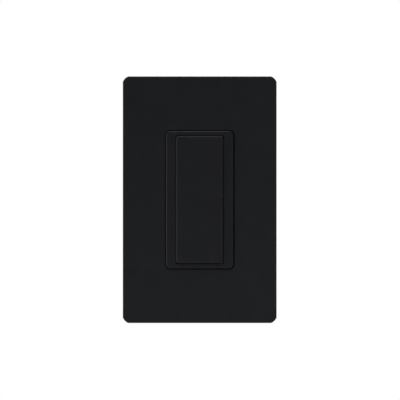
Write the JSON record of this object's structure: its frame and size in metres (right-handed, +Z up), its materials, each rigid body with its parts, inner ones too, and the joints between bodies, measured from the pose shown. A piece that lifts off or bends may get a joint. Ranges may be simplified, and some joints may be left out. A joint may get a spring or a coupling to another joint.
{
  "type": "rocker wall switch",
  "caption": "Single-gang rocker wall switch: a flat centre-pivoted paddle and a pull-out service tab in a screwless wallplate, with yoke, housing and relay behind the wall.",
  "frame": {"origin": "on the wall's surface, midway between the two wall-box screws", "axes": "+Z up, +X to the right seen from the room, -Y out of the wall towards the room, +Y into the wall box"},
  "size_m": [0.0746, 0.0396, 0.1194],
  "materials": {
    "satin_black_plastic": "satin moulded",
    "adapter_plastic": "fine matt",
    "zinc_plated_steel": "zinc plated",
    "screw_steel": "zinc plated",
    "green_steel": "green passivated",
    "fibre": "vulcanised fibre",
    "housing_plastic": "moulded, fine texture",
    "label_paper": "matt film",
    "insulation": "aramid paper",
    "silicone": "translucent, matt",
    "carbon": "carbon filled",
    "gold": "gold flash",
    "circuit_board": "solder resist over glass fibre",
    "chip_epoxy": "moulded epoxy",
    "resistor_ceramic": "glazed top",
    "capacitor_ceramic": "matt",
    "tinned_pin": "tinned",
    "copper": "bright copper",
    "relay_plastic": "moulded",
    "bobbin_nylon": "natural nylon",
    "soft_iron": "nickel plated",
    "enamelled_wire": "enamelled copper wire",
    "tape": "polyester tape",
    "ferrite": "ground",
    "film_box": "moulded box",
    "sleeve": "shrunk sleeve on aluminium can",
    "varistor_blue": "dipped lacquer",
    "resistor_lacquer": "flameproof lacquer",
    "terminal_brass": "bright brass",
    "terminal_steel": "zinc plated"
  },
  "bodies": {
    "frame": {"wallplate_cover": "satin_black_plastic", "bezel_frame": "satin_black_plastic", "wallplate_adapter": "adapter_plastic", "mounting_yoke": "zinc_plated_steel", "box_screws": "screw_steel", "adapter_screws": "screw_steel", "board_screws": "screw_steel", "enclosure_screws": "screw_steel", "ground_screw": "green_steel", "screw_retainers": "fibre", "middle_housing": "housing_plastic", "back_cover": "housing_plastic", "rating_label": "label_paper", "insulating_sheet": "insulation", "silicone_keypad": "silicone", "contact_pads": "gold", "control_board": "circuit_board", "power_board": "circuit_board", "microcontroller": "chip_epoxy", "driver_transistors": "chip_epoxy", "bridge_rectifier": "chip_epoxy", "board_header": "chip_epoxy", "board_socket": "chip_epoxy", "chip_resistors": "resistor_ceramic", "chip_capacitors": "capacitor_ceramic", "header_pins": "tinned_pin", "relay_coil_pins": "tinned_pin", "choke_pins": "tinned_pin", "transformer_pins": "tinned_pin", "air_gap_blades": "copper", "relay_fixed_contact": "copper", "relay_base": "relay_plastic", "relay_cover": "relay_plastic", "relay_bobbin": "bobbin_nylon", "transformer_bobbin": "bobbin_nylon", "relay_yoke": "soft_iron", "relay_core": "soft_iron", "relay_coil": "enamelled_wire", "choke_winding": "enamelled_wire", "transformer_winding": "tape", "choke_core": "ferrite", "transformer_core": "ferrite", "film_capacitor": "film_box", "electrolytic_capacitors": "sleeve", "varistor": "varistor_blue", "fusible_resistor": "resistor_lacquer", "terminal_plates": "terminal_brass", "clamp_plates": "terminal_steel", "terminal_screws": "terminal_steel"},
    "rocker": {"rocker_paddle": "satin_black_plastic", "contact_pills": "carbon"},
    "tab": {"service_tab": "satin_black_plastic", "air_gap_bridge": "copper"},
    "armature": {"relay_armature": "soft_iron", "relay_moving_contact": "copper"}
  },
  "joints": [
    {"name": "rocker_pivot", "type": "hinge", "parent": "frame", "child": "rocker", "pos_m": [0, -0.0052, 0], "axis": [1, 0, 0], "range_deg": [-2, 2], "stiffness_Nm_per_rad": 1, "deforming": ["silicone_keypad"]},
    {"name": "service_tab_slide", "type": "slide", "parent": "frame", "child": "tab", "axis": [0, -1, 0], "range_m": [0, 0.0032]},
    {"name": "armature_hinge", "type": "hinge", "parent": "frame", "child": "armature", "pos_m": [-0.0129, 0.0115, -0.0021], "axis": [1, 0, 0], "range_deg": [0, 2.9], "stiffness_Nm_per_rad": 0.05}
  ]
}
